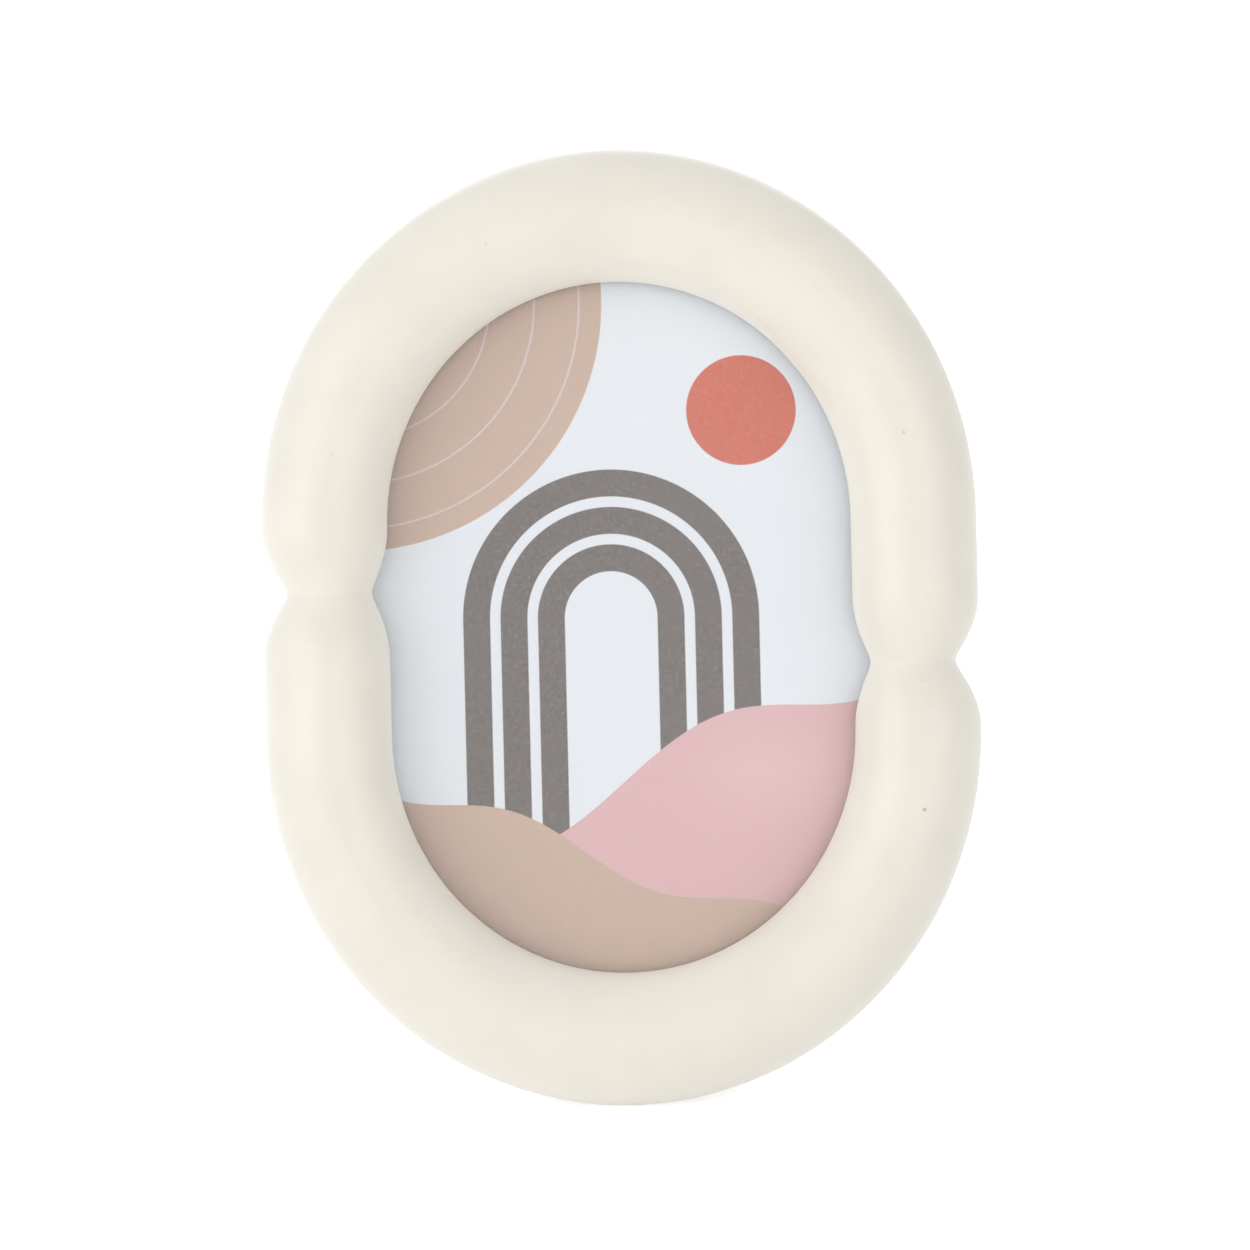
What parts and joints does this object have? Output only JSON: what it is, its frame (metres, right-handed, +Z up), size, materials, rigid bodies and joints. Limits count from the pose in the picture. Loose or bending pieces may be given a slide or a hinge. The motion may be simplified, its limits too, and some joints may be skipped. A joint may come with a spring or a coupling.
{
  "type": "picture frame",
  "caption": "Oval table-top picture frame: a fat cast ring pinched once on each side, glazed, with a folding easel leg.",
  "frame": {"origin": "on the table, at the middle of the small flat that the leaning ring stands on", "axes": "+X to the right as seen from the front, +Y to the back, +Z up; the face leans back 15 degrees"},
  "size_m": [0.143, 0.0835, 0.1849],
  "materials": {
    "cast_resin": "satin cream paint on cast resin",
    "glass": "clear float glass",
    "printed_paper": "matt print",
    "greyboard": "uncoated grey board",
    "fibreboard": "bare medium-density fibreboard",
    "flocked_paper": "black flocked paper",
    "plated_steel": "nickel-plated pressed steel",
    "screw_steel": "zinc-plated steel",
    "rivet_steel": "nickel-plated steel",
    "wire_steel": "nickel-plated wire"
  },
  "bodies": {
    "frame": {"frame_ring": "cast_resin", "glass_pane": "glass", "picture_insert": "printed_paper", "filler_card": "greyboard", "backing_board": "fibreboard", "backing_cover": "flocked_paper", "turn_button_screws": "screw_steel", "hinge_board_leaf": "plated_steel", "hinge_pin": "screw_steel", "hinge_board_rivets": "rivet_steel", "hanger_strap": "plated_steel", "hanger_rivet": "rivet_steel"},
    "leg": {"easel_leg": "fibreboard", "leg_cover": "flocked_paper", "hinge_leg_leaf": "plated_steel", "hinge_leg_rivets": "rivet_steel"},
    "hanger": {"hanger_ring": "wire_steel"},
    "button_upper_left": {"turn_button_upper_left": "plated_steel"},
    "button_upper_right": {"turn_button_upper_right": "plated_steel"},
    "button_lower_left": {"turn_button_lower_left": "plated_steel"},
    "button_lower_right": {"turn_button_lower_right": "plated_steel"}
  },
  "joints": [
    {"name": "leg_hinge", "type": "hinge", "parent": "frame", "child": "leg", "pos_m": [0, 0.03935, 0.11344], "axis": [1, 0, 0], "range_deg": [-30, 0]},
    {"name": "hanger_swing", "type": "hinge", "parent": "frame", "child": "hanger", "pos_m": [0, 0.04835, 0.14934], "axis": [1, 0, 0], "range_deg": [-15, 165]},
    {"name": "button_upper_left_turn", "type": "hinge", "parent": "frame", "child": "button_upper_left", "pos_m": [-0.03902, 0.04708, 0.15032], "axis": [0, 0.9659, -0.2588], "continuous": true},
    {"name": "button_upper_right_turn", "type": "hinge", "parent": "frame", "child": "button_upper_right", "pos_m": [0.03902, 0.04708, 0.15032], "axis": [0, 0.9659, -0.2588], "continuous": true},
    {"name": "button_lower_left_turn", "type": "hinge", "parent": "frame", "child": "button_lower_left", "pos_m": [-0.03902, 0.01467, 0.02934], "axis": [0, 0.9659, -0.2588], "continuous": true},
    {"name": "button_lower_right_turn", "type": "hinge", "parent": "frame", "child": "button_lower_right", "pos_m": [0.03902, 0.01467, 0.02934], "axis": [0, 0.9659, -0.2588], "continuous": true}
  ]
}
